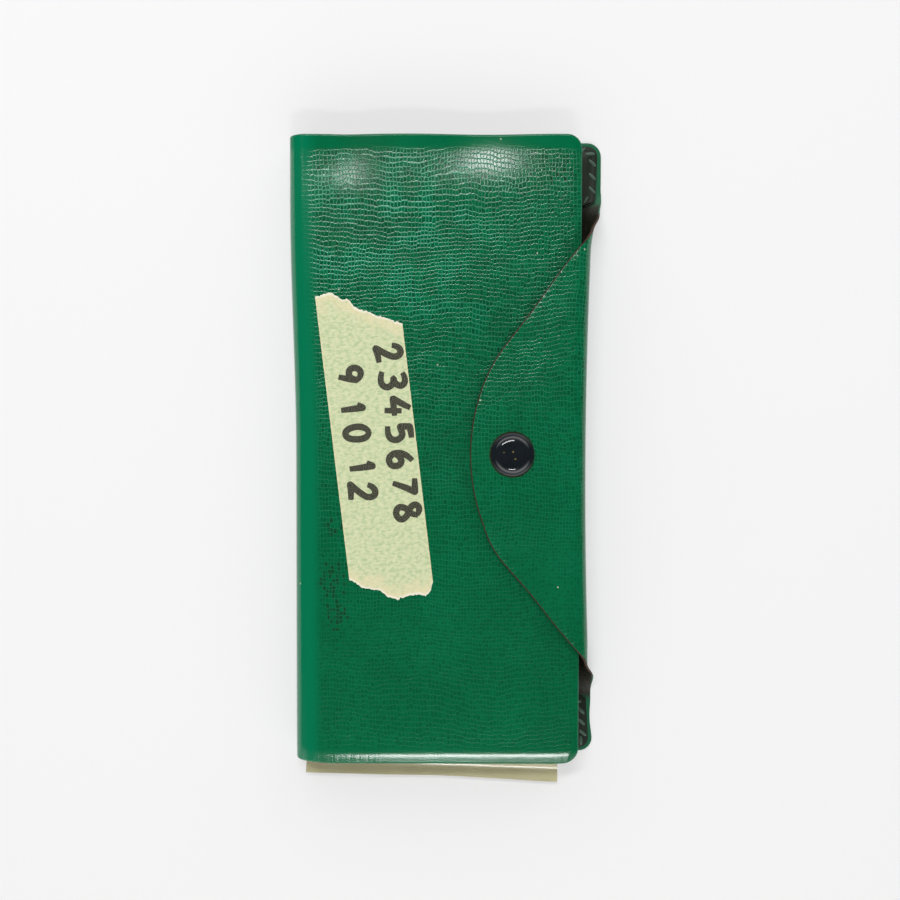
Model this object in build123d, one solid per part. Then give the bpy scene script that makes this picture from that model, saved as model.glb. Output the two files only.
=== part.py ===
from build123d import *
import math
import os

# Crochet hook case: a folded sheet of embossed green vinyl that closes like a book, with a
# tongue flap that wraps the open edge and snaps onto the front. A clear vinyl sleeve with
# welded channels lies inside, holds the hooks, and stands a little out of the lower end.
#
# Frame, in millimetres: X runs from the rolled spine on the left to the open edge on the right,
# Y runs up the length of the case, Z is up. The case lies closed on its back cover, and the
# origin is the middle of the face that it rests on.

# Outer sheet
case_length = 199.0  # along Y, both covers
case_width = 98.0  # spine to the open edge of the back cover
vinyl = 0.9  # embossed outer sheet
corner_radius = 4.5
front_clear = 2.4  # between the front cover's edge and the inside of the fold
spine_slot = 0.4  # slot at the line where the front cover bends up from the spine

# Inner plies
liner = 0.4
liner_margin = 0.8  # liner edge in from the outer sheet's edge
pocket_film = 0.4
pocket_gap = 0.3  # height of the weld rail, and so of the slip pocket
pocket_margin = 1.8  # pocket edge in from the outer sheet's edge
pocket_mouth_inset = 12.0  # open mouth of the pocket, in from the roll of the spine
weld_width = 2.4
weld_bead = 0.3  # height of the pressed rope weld above the pocket film
slack = 0.3  # room that a loose piece has on each side

# Flap
flap_centre_y = -1.0
flap_reach = 39.3  # outside of the fold to the tip of the tongue
flap_tip_radius = 58.0
flap_tip_turn = 37.0  # degrees of the tip arc, each side of the middle
ear_length = 19.8  # end of the back cover to the notch where the flap leaves it
ear_run = 3.2  # slant of the notch, along Y
neck_spread = 12.1  # how much further each end of the neck reaches at the back cover
fold_setback = 2.4  # outside of the fold, in from the open edge of the back cover
bend_radius = 4.0  # of the middle of the sheet, at both bends of the fold
fold_slot = 0.5  # slot at each end of the fold's flat wall

# Press stud
snap_from_tip = 13.7  # centre of the stud, in from the tip of the tongue
cap_diameter = 13.5
cap_height = 2.3
cap_rim_height = 0.8
cap_rim_width = 0.9
cap_wall = 0.45
post_diameter = 3.4
post_wall = 0.35
post_head_diameter = 7.0
post_head = 0.35
clinch_diameter = 4.6
clinch = 0.25
socket_diameter = 9.6
socket_depth = 2.1
socket_sheet = 0.3
socket_lift = 0.1  # between the socket's rim and the stud's flange
pull_room = 0.9  # radial room for the stud's head as the flap is pulled off in an arc
stud_diameter = 4.2
stud_neck_diameter = 3.0
stud_flange_diameter = 8.6
stud_flange = 0.4
stud_head_room = 0.3  # between the stud's head and the clinched post
spring_wire = 0.4
spring_clear = 0.05  # above and below the spring ring
spring_grip_clear = 0.1  # between the spring ring and the stud's neck
rivet_diameter = 2.2
rivet_head_diameter = 7.6
rivet_head = 0.5
rivet_clear = 0.05  # room round and above every rivet

# Sleeve and hooks
sleeve_length = 189.0
sleeve_film = 0.3
sleeve_left_room = 4.2  # lowest left corner of the sleeve, in from the spine's outside
sleeve_right_room = 6.3  # highest right corner of the sleeve, in from the open edge
sleeve_stand_out = 6.1  # middle of the sleeve's lower end, past the covers' edge
sleeve_tilt = -2.0  # degrees about Z
sleeve_end_weld = 6.0
sleeve_edge_weld = 2.4
channel_weld = 1.6
channel_room = 0.6  # height of a channel past its hook
channel_shoulder = 1.3  # rounding of a channel's upper corners
hook_diameters = [2.5, 3.0, 3.5, 4.0, 5.0, 5.5]
spare_channel = 5.0  # hook size that the empty channel is made for
hook_length = 150.0
hook_from_weld = 2.5  # foot of a hook, from the sleeve's lower weld
thumb_rest_length = 12.0
thumb_rest_from_head = 38.0
thumb_rest_depth = 0.2  # of the hook's diameter, pressed in from each side
head_length_share = 2.2  # length of the shaped head, in diameters
throat_share = 0.62  # thickness of the neck under the head, in diameters
mouth_share = 0.42  # depth of the mouth, in diameters
mouth_slant = 35.0  # degrees

# Label
tape_width = 25.4
tape_length = 89.6
tape_thickness = 0.15
tape_tilt = 6.8  # degrees about Z
tape_from_spine = 26.8  # centre of the tape, in from the spine's outside
tape_centre_y = -0.3
upper_tear = 5.7  # how far the upper torn end runs off square, each side
lower_tear = 3.4

# Levels that follow from the sizes above
back_liner_top = vinyl + liner
pocket_bottom = back_liner_top + pocket_gap
pocket_top = pocket_bottom + pocket_film
sleeve_bottom = pocket_top + weld_bead + slack
widest_hook = max(max(hook_diameters), spare_channel)
sleeve_top = sleeve_bottom + 2 * sleeve_film + widest_hook + channel_room
front_liner_bottom = sleeve_top + slack + rivet_head
front_bottom = front_liner_bottom + liner
front_top = front_bottom + vinyl
socket_bottom = front_top + stud_flange + socket_lift
flap_bottom = socket_bottom + socket_depth
flap_top = flap_bottom + vinyl

# Places across and along the case
left = -case_width / 2
right = case_width / 2
spine_radius = front_top / 2
spine_x = left + spine_radius
fold_outside = right - fold_setback
fold_middle = fold_outside - vinyl / 2
bend_x = fold_middle - bend_radius  # where both bends of the fold run into flat sheet
front_edge = fold_outside - vinyl - front_clear
tip_x = fold_outside - flap_reach
snap_at = (tip_x + snap_from_tip, flap_centre_y)
ear_half = case_length / 2 - ear_length
neck_root_half = ear_half - ear_run
neck_top_half = neck_root_half - neck_spread

# A sheet that bends through a quarter turn keeps its length if it turns about this point
bend_shift = bend_radius * (1 - math.pi / 4)
spine_shift = (spine_radius - vinyl / 2) * (1 - math.pi / 4)
fold_hinge = (fold_middle - bend_shift, vinyl / 2 + bend_shift)
flap_hinge = (fold_middle - bend_shift, flap_bottom + vinyl / 2 - bend_shift)
front_hinge = (left + vinyl / 2 + spine_shift, front_top - vinyl / 2 - spine_shift)


def slab(outline, bottom, thickness):
    """A flat outline in XY, made a solid that stands on the level given."""
    return extrude(Pos(0, 0, bottom) * outline, thickness, dir=(0, 0, 1))


def disc(diameter, bottom, thickness):
    """A flat round solid about the snap's axis."""
    middle = bottom + thickness / 2
    return Pos(snap_at[0], snap_at[1], middle) * Cylinder(diameter / 2, thickness)


def snap_hole(diameter):
    """The outline of a hole for a rivet of that diameter, on the snap's axis."""
    return Pos(*snap_at) * Circle(diameter / 2 + rivet_clear)


def along_y(section, length):
    """A section drawn with X across and Z up, made a bar of that length about the XZ plane."""
    placed = Plane((0, 0, 0), x_dir=(1, 0, 0), z_dir=(0, -1, 0)) * section
    return extrude(placed, length / 2, both=True)


def quarter_ring(centre, upper):
    """A quarter turn of the sheet in XZ, on the right of its centre, above it or below it."""
    ring = Circle(bend_radius + vinyl / 2) - Circle(bend_radius - vinyl / 2)
    side = bend_radius + vinyl
    corner = Pos(side / 2, side / 2 if upper else -side / 2) * Rectangle(side, side)
    return Pos(*centre) * (ring & corner)


def neck_wedge():
    """The room between the neck's slanted ends: wide at the back cover, narrow at the flap."""
    points = [
        (-neck_root_half, 0),
        (neck_root_half, 0),
        (neck_top_half, flap_top),
        (-neck_top_half, flap_top),
    ]
    side_view = Plane((0, flap_centre_y, 0), x_dir=(0, 1, 0), z_dir=(1, 0, 0))
    face = side_view * make_face(Polyline(*points, close=True))
    return extrude(face, case_width, both=True)


def rounded_sheet(edge, left_edge, margin):
    """A cover's outline between two X places, in from its ends and rounded on the right."""
    length = case_length - 2 * margin
    sheet = Pos((left_edge + edge) / 2, 0) * Rectangle(edge - left_edge, length)
    outer = sheet.vertices().sort_by(Axis.X)[-2:]
    return fillet(outer, corner_radius)


def back_outline(margin, mouth):
    """The back cover's outline, in from its edges by margin and cut off at mouth on the left.
    The neck of the flap leaves it between two notches."""
    sheet = rounded_sheet(right - margin, mouth, margin)
    inside = bend_x - margin
    points = [
        (inside, -neck_root_half - margin),
        (right, -ear_half - margin),
        (right, ear_half + margin),
        (inside, neck_root_half + margin),
    ]
    return sheet - Pos(0, flap_centre_y) * make_face(Polyline(*points, close=True))


def back_cover():
    """Outer sheet of the back, with the lower bend of the flap's neck."""
    flat = slab(back_outline(0, spine_x), 0, vinyl)
    bend = quarter_ring((bend_x, vinyl / 2 + bend_radius), upper=False)
    return flat + (along_y(bend, 2 * case_length) & neck_wedge())


def cover_spine():
    """The roll of the outer sheet from the back cover to the front cover."""
    ring = Circle(spine_radius) - Circle(spine_radius - vinyl)
    half = Pos(-spine_radius, 0) * Rectangle(2 * spine_radius, 4 * spine_radius)
    return along_y(Pos(spine_x, spine_radius) * (ring & half), case_length)


def back_liner():
    """Thin lining welded to the inside of the back cover."""
    return slab(back_outline(liner_margin, spine_x + liner_margin), vinyl, liner)


def back_pocket():
    """Slip pocket on the liner: a film on weld rails along three edges, open to the spine, with
    the rope-shaped bead of the weld standing on it."""
    mouth = spine_x + pocket_mouth_inset
    outline = back_outline(pocket_margin, mouth)
    rim = outline - back_outline(pocket_margin + weld_width, mouth)
    film = slab(outline, pocket_bottom, pocket_film)
    rails = slab(rim, back_liner_top, pocket_gap)
    bead = slab(rim, pocket_top, weld_bead)
    return rails + film + bead


def front_cover():
    outline = rounded_sheet(front_edge, spine_x + spine_slot, 0)
    return slab(outline - snap_hole(rivet_diameter), front_bottom, vinyl)


def front_liner():
    """Thin lining welded to the inside of the front cover."""
    outline = rounded_sheet(front_edge - liner_margin, spine_x + liner_margin, liner_margin)
    return slab(outline - snap_hole(rivet_diameter), front_liner_bottom, liner)


def flap_fold():
    """Flat wall of the fold, between its two bends."""
    low = vinyl / 2 + bend_radius + fold_slot
    high = flap_bottom + vinyl / 2 - bend_radius - fold_slot
    wall = Pos(fold_middle, (low + high) / 2) * Rectangle(vinyl, high - low)
    return along_y(wall, 2 * case_length) & neck_wedge()


def tongue_outline():
    """Half of the tongue from tip to neck: a round tip and a long flat flank, then mirrored."""
    turn = math.radians(flap_tip_turn)
    tip = (tip_x, 0)
    shoulder_x = tip_x + flap_tip_radius * (1 - math.cos(turn))
    shoulder = (shoulder_x, flap_tip_radius * math.sin(turn))
    neck = (bend_x, neck_top_half)
    round_tip = TangentArc(tip, shoulder, tangent=(0, 1))
    flank = TangentArc(shoulder, neck, tangent=(math.sin(turn), math.cos(turn)))
    half = make_face([round_tip, flank, Polyline(neck, (bend_x, 0), tip)])
    return Pos(0, flap_centre_y) * (half + mirror(half, Plane.XZ))


def flap_tongue():
    """Tongue of the flap, with the upper bend of the fold."""
    flat = slab(tongue_outline() - snap_hole(post_diameter), flap_bottom, vinyl)
    bend = quarter_ring((bend_x, flap_bottom + vinyl / 2 - bend_radius), upper=True)
    return flat + (along_y(bend, 2 * case_length) & neck_wedge())


def snap_cap():
    """Low enamelled dome on a rolled rim, hollow underneath for the head of its post."""
    dome_diameter = cap_diameter - 2 * cap_rim_width
    rise = cap_height - cap_rim_height
    crown = ((dome_diameter / 2) ** 2 + rise**2) / (2 * rise)
    ball = Pos(snap_at[0], snap_at[1], flap_top + cap_height - crown) * Sphere(crown)
    dome = ball & disc(dome_diameter, flap_top + cap_rim_height, rise)
    rim = disc(cap_diameter, flap_top, cap_rim_height)
    rim = fillet(rim.edges().filter_by(GeomType.CIRCLE), cap_rim_height * 0.4)
    hollow = disc(dome_diameter - 2 * cap_wall, flap_top, post_head + rivet_clear)
    return rim + dome - hollow


def snap_post():
    """Hollow rivet under the cap: through the flap and the socket, then clinched over."""
    foot = flap_bottom - socket_sheet - clinch
    head = disc(post_head_diameter, flap_top, post_head)
    shank = disc(post_diameter, foot, flap_top + post_head - foot)
    turned_over = disc(clinch_diameter, foot, clinch)
    bore = disc(post_diameter - 2 * post_wall, foot, flap_top - foot)
    return head + shank + turned_over - bore


def snap_socket():
    """Pressed cup under the flap that holds the spring and closes over the stud."""
    body = disc(socket_diameter, socket_bottom, socket_depth)
    cavity_height = socket_depth - 2 * socket_sheet
    cavity = disc(socket_diameter - 2 * socket_sheet, socket_bottom + socket_sheet, cavity_height)
    mouth = disc(stud_diameter + 2 * pull_room, socket_bottom, socket_sheet)
    hole = disc(post_diameter + 2 * rivet_clear, flap_bottom - socket_sheet, socket_sheet)
    return body - cavity - mouth - hole


def snap_spring():
    """Split ring of wire in the socket, which grips the stud under its head."""
    radius = stud_neck_diameter / 2 + spring_grip_clear + spring_wire / 2
    level = socket_bottom + socket_sheet + spring_clear + spring_wire / 2
    ring = Torus(radius, spring_wire / 2)
    split = Pos(radius, 0, 0) * Box(2 * spring_wire, spring_wire, 2 * spring_wire)
    return Pos(snap_at[0], snap_at[1], level) * (ring - split)


def snap_stud():
    """Stud on the front cover: a flange, a neck, and a wider head that the spring holds."""
    neck_top = socket_bottom + socket_sheet + spring_wire + 2 * spring_clear
    head_top = flap_bottom - socket_sheet - clinch - stud_head_room
    flange = disc(stud_flange_diameter, front_top, stud_flange)
    neck = disc(stud_neck_diameter, front_top, neck_top - front_top)
    head = disc(stud_diameter, neck_top, head_top - neck_top)
    top_rim = head.edges().filter_by(GeomType.CIRCLE).sort_by(Axis.Z)[-1]
    head = fillet(top_rim, (head_top - neck_top) * 0.4)
    bore = disc(rivet_diameter + 2 * rivet_clear, front_top, neck_top - front_top)
    return flange + neck + head - bore


def stud_rivet():
    """Rivet from inside the front cover that carries the stud."""
    neck_top = socket_bottom + socket_sheet + spring_wire + 2 * spring_clear
    head = disc(rivet_head_diameter, front_liner_bottom - rivet_head, rivet_head)
    shank_length = neck_top - rivet_clear - front_liner_bottom
    return head + disc(rivet_diameter, front_liner_bottom, shank_length)


def label_tape():
    """Strip of masking tape on the front cover, with torn ends."""
    half_length = tape_length / 2
    half_width = tape_width / 2
    points = [
        (-half_width, -half_length + lower_tear),
        (half_width, -half_length - lower_tear),
        (half_width, half_length - upper_tear),
        (-half_width, half_length + upper_tear),
    ]
    outline = Rot(0, 0, tape_tilt) * make_face(Polyline(*points, close=True))
    place = Pos(left + tape_from_spine, tape_centre_y)
    return slab(place * outline, front_top, tape_thickness)


# The sleeve lies turned by its tilt, so its width is what the covers leave across it
tilt = math.radians(abs(sleeve_tilt))
room_across = case_width - sleeve_left_room - sleeve_right_room
sleeve_width = (room_across - sleeve_length * math.sin(tilt)) / math.cos(tilt)
sleeve_middle = (
    (left + sleeve_left_room + right - sleeve_right_room) / 2,
    -case_length / 2 - sleeve_stand_out + sleeve_length / 2 * math.cos(tilt),
)
sleeve_place = Pos(*sleeve_middle) * Rot(0, 0, sleeve_tilt)
channel_sizes = hook_diameters + [spare_channel]
channel_pitch = (sleeve_width - 2 * sleeve_edge_weld) / len(channel_sizes)
channel_width = channel_pitch - channel_weld


def channel_x(number):
    """Middle of a channel across the sleeve, in the sleeve's own frame."""
    return -sleeve_width / 2 + sleeve_edge_weld + channel_pitch * (number + 0.5)


def arch(number, width, height):
    """Section of one channel on the back film: straight sides and rounded upper corners."""
    bottom = sleeve_bottom + sleeve_film
    box = Pos(channel_x(number), bottom + height / 2) * Rectangle(width, height)
    return fillet(box.vertices().sort_by(Axis.Y)[-2:], channel_shoulder)


def sleeve_back_film():
    """Flat back ply of the sleeve."""
    return sleeve_place * slab(Rectangle(sleeve_width, sleeve_length), sleeve_bottom, sleeve_film)


def sleeve_front_film():
    """Front ply of the sleeve, drawn up into a channel for each hook and welded flat between
    them and across the lower end. The upper ends of the channels are open."""
    level = sleeve_bottom + sleeve_film
    flat = slab(Rectangle(sleeve_width, sleeve_length), level, sleeve_film)
    open_length = sleeve_length - sleeve_end_weld
    walls = Part()
    hollows = Part()
    for number, size in enumerate(channel_sizes):
        inside = size + channel_room
        skin = arch(number, channel_width + 2 * sleeve_film, inside + sleeve_film)
        walls += Pos(0, sleeve_end_weld / 2, 0) * along_y(skin, open_length)
        hollow_length = open_length - sleeve_film
        hollow_y = (sleeve_end_weld + sleeve_film) / 2
        hollows += Pos(0, hollow_y, 0) * along_y(arch(number, channel_width, inside), hollow_length)
    return sleeve_place * (flat + walls - hollows)


def crochet_hook(number):
    """Aluminium crochet hook: round shaft, pressed thumb rest, tapered throat and cut mouth."""
    size = hook_diameters[number]
    radius = size / 2
    head = head_length_share * size
    throat = throat_share * radius
    profile = [
        (0, 0),
        (radius * 0.7, 0),
        (radius, radius * 0.5),
        (radius, hook_length - head * 2),
        (throat, hook_length - head * 0.95),
        (throat, hook_length - head * 0.6),
        (radius * 0.92, hook_length - head * 0.45),
        (radius * 0.8, hook_length - head * 0.2),
        (radius * 0.35, hook_length),
        (0, hook_length),
    ]
    body = revolve(Plane.XZ * make_face(Polyline(*profile, close=True)), Axis.Z)
    rest_level = hook_length - thumb_rest_from_head
    pressed_y = radius * (2 - 2 * thumb_rest_depth)
    for side in (-1, 1):
        press = Pos(0, side * pressed_y, rest_level) * Box(2 * size, size, thumb_rest_length)
        body -= press
    mouth_y = radius * (2 - mouth_share)
    mouth = Pos(0, mouth_y, hook_length - head * 0.62) * Rot(mouth_slant, 0, 0)
    body -= mouth * Box(2 * size, size, mouth_share * size)
    foot = -sleeve_length / 2 + sleeve_end_weld + hook_from_weld
    level = sleeve_bottom + sleeve_film + slack + radius
    return sleeve_place * Pos(channel_x(number), foot, level) * Rot(-90, 0, 0) * body


nodes = {
    "back_cover": back_cover(),
    "cover_spine": cover_spine(),
    "back_liner": back_liner(),
    "back_pocket": back_pocket(),
    "front_cover": front_cover(),
    "front_liner": front_liner(),
    "snap_stud": snap_stud(),
    "stud_rivet": stud_rivet(),
    "label_tape": label_tape(),
    "flap_fold": flap_fold(),
    "flap_tongue": flap_tongue(),
    "snap_cap": snap_cap(),
    "snap_post": snap_post(),
    "snap_socket": snap_socket(),
    "snap_spring": snap_spring(),
    "sleeve_back_film": sleeve_back_film(),
    "sleeve_front_film": sleeve_front_film(),
}
for number in range(len(hook_diameters)):
    nodes[f"hook_{number + 1}"] = crochet_hook(number)

os.makedirs("parts", exist_ok=True)
for name, solid in nodes.items():
    export_step(solid, f"parts/{name}.step")

print("fold hinge, X and Z:", fold_hinge)
print("flap hinge, X and Z:", flap_hinge)
print("front cover hinge, X and Z:", front_hinge)
print("snap axis, X and Y:", snap_at)
print("sleeve middle, X and Y:", sleeve_middle, "width", sleeve_width)
print("channel pitch and width:", channel_pitch, channel_width)
print("levels of the sleeve:", sleeve_bottom, sleeve_top)
print("levels of the front cover's and the flap's top:", front_top, flap_top)
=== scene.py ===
import random
from math import atan2, cos, exp, hypot, pi, radians, sin

import bmesh
import bpy
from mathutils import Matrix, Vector, noise


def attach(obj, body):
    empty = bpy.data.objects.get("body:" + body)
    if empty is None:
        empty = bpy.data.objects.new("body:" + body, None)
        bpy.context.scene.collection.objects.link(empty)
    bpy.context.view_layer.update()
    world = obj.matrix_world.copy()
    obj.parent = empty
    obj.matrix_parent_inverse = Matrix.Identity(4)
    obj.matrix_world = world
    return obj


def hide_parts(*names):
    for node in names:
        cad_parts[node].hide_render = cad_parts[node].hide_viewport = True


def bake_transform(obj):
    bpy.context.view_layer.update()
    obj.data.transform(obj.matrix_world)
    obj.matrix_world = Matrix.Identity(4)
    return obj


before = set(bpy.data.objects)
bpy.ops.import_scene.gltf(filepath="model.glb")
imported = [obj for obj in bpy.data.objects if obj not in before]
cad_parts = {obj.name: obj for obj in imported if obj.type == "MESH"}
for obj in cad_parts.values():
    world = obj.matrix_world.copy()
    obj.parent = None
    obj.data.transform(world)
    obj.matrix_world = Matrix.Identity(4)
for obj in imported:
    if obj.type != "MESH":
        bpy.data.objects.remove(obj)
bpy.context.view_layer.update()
mm = 0.001

# Table, lamps and camera. The case lies on a plain white table under a dim ceiling. A soft box
# stands beyond its upper end, a weaker one beyond its lower end, and the camera looks straight
# down on it, leaning a little towards the lower end.
table_glow = 0.43  # white added where the table itself is looked at
room_wall, room_rest = 3.3, 0.04  # brightness of the room's two end walls, and of all of it


class Finish:
    """A material's nodes, with short ways to add the ones that these finishes use."""

    def __init__(self, name=None, tree=None):
        if name:
            self.material = bpy.data.materials.new(name)
            self.material.use_nodes = True
            tree = self.material.node_tree
            self.shader = tree.nodes["Principled BSDF"]
        self.nodes, self.links = tree.nodes, tree.links

    def feed(self, value, socket):
        if isinstance(value, bpy.types.NodeSocket):
            self.links.new(value, socket)
        else:
            socket.default_value = (*value, 1) if socket.type == "RGBA" else value

    def give(self, name, value):
        self.feed(value, self.shader.inputs[name])

    def add(self, kind, *fed, **fed_by_name):
        """A new node, with its inputs fed in their order or by name."""
        node = self.nodes.new("ShaderNode" + kind)
        for name, value in [*enumerate(fed), *fed_by_name.items()]:
            self.feed(value, node.inputs[name])
        return node

    def maths(self, operation, first, *others):
        """One operation, worked through all of its values from left to right."""
        for other in others or [0.0]:
            node = self.add("Math", first, other)
            node.operation = operation
            first = node.outputs[0]
        return first

    def times(self, *values):
        return self.maths("MULTIPLY", *values)

    def off(self, value, middle):
        """How far a value is from a middle one, to either side."""
        return self.maths("ABSOLUTE", self.maths("SUBTRACT", value, middle))

    def vector(self, operation, first, second):
        node = self.add("VectorMath", first, second)
        node.operation = operation
        return node.outputs["Value" if operation == "DISTANCE" else "Vector"]

    def scaled(self, place, factors):
        return self.vector("MULTIPLY", place, factors)

    def ranged(self, value, low, high, new_low, new_high):
        node = self.add("MapRange", value, low, high, new_low, new_high)
        node.interpolation_type = "SMOOTHSTEP"
        return node.outputs["Result"]

    def noise(self, place, scale, detail=2.0, kind="Fac", flat=True):
        node = self.add("TexNoise", Vector=place, Scale=scale, Detail=detail)
        node.noise_dimensions = "2D" if flat else "3D"
        return node.outputs[kind]

    def cells(self, place, randomness, feature):
        node = self.add("TexVoronoi", Vector=place, Scale=1.0, Randomness=randomness)
        node.voronoi_dimensions = "2D"
        node.feature = feature
        return node.outputs

    def pushed(self, place, by, amount):
        centred = self.vector("SUBTRACT", by, (0.5, 0.5, 0.5))
        return self.vector("ADD", place, self.scaled(centred, amount))

    def mix(self, share, first, second):
        return self.add("MixRGB", share, first, second).outputs["Color"]

    def split(self, value):
        return self.add("SeparateXYZ", value).outputs

    def mapped(self, name, side):
        """Place on one of the piece's UV maps, in millimetres from its lower left corner."""
        node = self.add("UVMap")
        node.uv_map = name
        return self.scaled(node.outputs["UV"], (side, side, 0))

    def object_place(self):
        """Place in the case's own frame, in millimetres."""
        return self.scaled(self.add("TexCoord").outputs["Object"], (1000, 1000, 1000))

    def bump(self, height, depth_mm, strength=1.0):
        node = self.add("Bump", Strength=strength, Distance=depth_mm * mm, Height=height)
        self.give("Normal", node.outputs["Normal"])


table_paint = Finish("white_table")
table_paint.give("Base Color", (0.46, 0.46, 0.46))
table_paint.give("Roughness", 0.9)
table_paint.give("Specular IOR Level", 0.1)
table_paint.give("Emission Color", (1, 1, 1))
rays = table_paint.add("LightPath").outputs
ways_seen = [rays[f"Is {kind} Ray"] for kind in ("Camera", "Glossy", "Transmission")]
seen = table_paint.maths("MAXIMUM", *ways_seen)
table_paint.give("Emission Strength", table_paint.times(seen, table_glow))
bpy.ops.mesh.primitive_plane_add(size=6, location=(0, 0, -0.05 * mm))
table = bpy.context.object
table.name = "table"
table.data.materials.append(table_paint.material)

scene = bpy.context.scene
world = scene.world = scene.world or bpy.data.worlds.new("room")
world.use_nodes = True
room = Finish(tree=world.node_tree)
room_axes = room.split(room.add("TexCoord").outputs["Generated"])
walls = room.ranged(room_axes["Z"], 0.15, 0.80, room_wall, 0.0)  # under a dim ceiling
at_ends = room.ranged(room.maths("ABSOLUTE", room_axes["Y"]), 0.25, 0.80, 0.0, 1.0)
brightness = room.maths("ADD", room.times(walls, at_ends), room_rest)
looked_at = room.add("LightPath").outputs["Is Camera Ray"]  # plain white there
background = room.nodes["Background"].inputs
room.feed(room.maths("MAXIMUM", brightness, looked_at), background["Strength"])
room.feed((1, 1, 1), background["Color"])


def soft_box(name, place, width, height, power):
    """An area lamp that stands at a place and faces the middle of the case."""
    turn = (-Vector(place)).to_track_quat("-Z", "Y").to_euler()
    bpy.ops.object.light_add(type="AREA", location=place, rotation=turn)
    lamp = bpy.context.object
    lamp.name = name
    lamp.data.shape = "RECTANGLE"
    lamp.data.size = width
    lamp.data.size_y = height
    lamp.data.energy = power


soft_box("upper_soft_box", (-0.16, 0.58, 0.93), 0.66, 0.13, 6.1)
soft_box("lower_soft_box", (0.05, -0.80, 0.88), 0.34, 0.09, 2.9)

camera_lean = (radians(-2.09), radians(-0.05), radians(0.14))
bpy.ops.object.camera_add(location=(1.06 * mm, 12.57 * mm, 348.3 * mm), rotation=camera_lean)
camera = bpy.context.object
camera.data.sensor_width = 36
camera.data.lens = 42.5
camera.data.clip_start = 10 * mm
scene.camera = camera
scene.view_settings.view_transform = "Standard"

# Outer sheet. One sheet of embossed green vinyl, 0.9 mm thick, is cut to its outline while it
# lies flat, and then rolled over the spine and bent up round the open edge. Here it is cut and
# gridded flat in the same way, U across it and V along it, and folded up as the last step.
vinyl = 0.9
spine_x = -43.3  # line where the back cover runs into the roll of the spine
spine_z = 5.7  # middle of the roll
roll_radius = 5.25  # of the middle of the sheet
roll_length = pi * roll_radius
bend_x = 42.15  # line where the back cover runs into the lower bend
bend_radius = 4.0
bend_length = pi / 2 * bend_radius
wall_length = 6.0
neck_u = bend_x + 2 * bend_length + wall_length  # where the tongue runs flat again
wall_middle_u = bend_x + bend_length + wall_length / 2
front_edge_u = spine_x - roll_length - 86.6
ear_u = 49.0
cover_half = 99.5
corner_radius = 4.5
bend_gap = 0.8  # the linings stop this far short of a bend
flap_middle = -1.0  # V of the flap's middle line
ear_half = 79.7  # from that line to where an ear's edge runs into the flank
apex_u = 111.1  # where the two straight flanks would meet
tip_rounding = 44.2  # how far down each flank the rounding of the tip starts
tip_u = neck_u + bend_x - 7.3
snap_x, snap_y = 21.0, -1.0
map_side, map_left, map_lower = 0.250, -0.150, -0.125  # of the flat sheet's UV map, in metres


def smooth(value, low, high):
    """0 below low, 1 above high, and an S curve between them."""
    share = min(1.0, max(0.0, (value - low) / (high - low)))
    return share * share * (3 - 2 * share)


def swell(value, middle, width):
    """1 at the middle, and down to nothing at about twice the width from it."""
    return exp(-(((value - middle) / width) ** 2))


def front_lift(x, y):
    """How far the front cover's face stands off its level. Both ends roll down, the upper end
    sags a little in two places, and the rest is as good as flat."""
    lower = -1.1 * smooth(-y, 94.5, 101.5)
    right = swell(x, 12, 15)
    sag = -(0.2 + 1.7 * right + 1.0 * swell(x, -33, 8)) * smooth(y, 79, 96 + 6 * right)
    sag -= 0.8 * swell(x, -28, 14) * smooth(y, 50, 92)
    wave = 0.3 * noise.noise(Vector((x / 31, y / 37, 4.7)))
    around_snap = 1 - exp(-((x - snap_x) ** 2 + (y - snap_y) ** 2) / 120)
    return lower + sag + wave * around_snap * (1 - smooth(abs(y), 84, 98))


def tongue_lift(x, y):
    """The tongue is held up by its snap and sags towards its tip and flanks."""
    reach = hypot(x - snap_x, y - snap_y)
    from_bend = smooth(bend_x - x, 0, 20)
    return -1.15 * smooth(reach, 9, 36) * from_bend - 0.12 * swell(reach, 9, 3)


def ear_curl(v):
    """Share of the full bend that the sheet takes, at V. The ears stay flat."""
    if v > 0:
        return 1 - smooth(v - flap_middle, 71, 85)
    return 1 - smooth(flap_middle - v, 67, 80)


def edge_shift(x, v, front):
    """How far the worn case has drifted across from square, in X."""
    shift = 0.0
    if front:
        shift -= 0.55 * smooth(x, 24, 42)
    else:
        ears = smooth(abs(v - flap_middle), 62, 80)
        ear_drift = 1.1 if v > 0 else -1.25 + 0.8 * smooth(-v, 88, 97)
        bow = -1.0 - 1.1 * (1 - min(1.0, ((v - flap_middle) / 60) ** 2))
        ear_drift -= 1.4 * swell(v, 77.0, 3.4)
        shift += smooth(x, 25, 42) * (ear_drift * ears + bow * (1 - ears))
    spine = 0.8 - 1.7 * smooth(v, 0, 78)
    return shift + spine * (1 - smooth(x, -43, -36))


def end_shift(x, v):
    """How far the front cover's worn ends stand out, in Y, between its corners."""
    between = smooth(x, -48, -36) * (1 - smooth(x, 36, 46))
    return (0.4 * smooth(v, 70, 99) - 1.3 * smooth(-v, 70, 99)) * (0.4 + 0.6 * between)


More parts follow.
